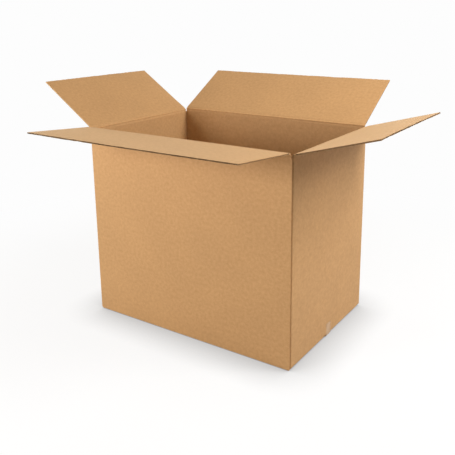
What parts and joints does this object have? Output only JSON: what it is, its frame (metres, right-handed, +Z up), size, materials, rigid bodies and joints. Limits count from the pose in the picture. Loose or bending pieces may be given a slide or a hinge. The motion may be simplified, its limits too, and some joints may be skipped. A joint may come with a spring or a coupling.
{
  "type": "double-wall corrugated box",
  "caption": "Large carton of double-wall corrugated board with hinged top flaps, standing open; its base flaps are folded in and taped along the seam.",
  "frame": {"origin": "centre of the base, on the underside of the seam tape", "axes": "+X along the long front panel towards the end panel beside the glued joint, +Y from the front panel to the back panel, +Z up"},
  "size_m": [1.9117, 1.5358, 1.2395],
  "materials": {
    "kraft_board": "matt natural kraft liner, with dark open flutes at the cut edges",
    "clear_tape": "glossy clear film, tinted by the board that it is stuck to"
  },
  "bodies": {
    "carton": {"carton_body": "kraft_board", "seam_tape": "clear_tape"},
    "front_flap": {"front_flap": "kraft_board"},
    "right_flap": {"right_flap": "kraft_board"},
    "back_flap": {"back_flap": "kraft_board"},
    "left_flap": {"left_flap": "kraft_board"}
  },
  "joints": [
    {"name": "front_fold", "type": "hinge", "parent": "carton", "child": "front_flap", "pos_m": [0, -0.4, 1.019], "axis": [1, 0, 0], "range_deg": [-175, 90]},
    {"name": "right_fold", "type": "hinge", "parent": "carton", "child": "right_flap", "pos_m": [0.6, 0, 1.0117], "axis": [0, 1, 0], "range_deg": [-164.5, 100.5]},
    {"name": "back_fold", "type": "hinge", "parent": "carton", "child": "back_flap", "pos_m": [0, 0.4, 1.019], "axis": [-1, 0, 0], "range_deg": [-149, 116]},
    {"name": "left_fold", "type": "hinge", "parent": "carton", "child": "left_flap", "pos_m": [-0.6, 0, 1.0117], "axis": [0, -1, 0], "range_deg": [-146, 119]}
  ]
}
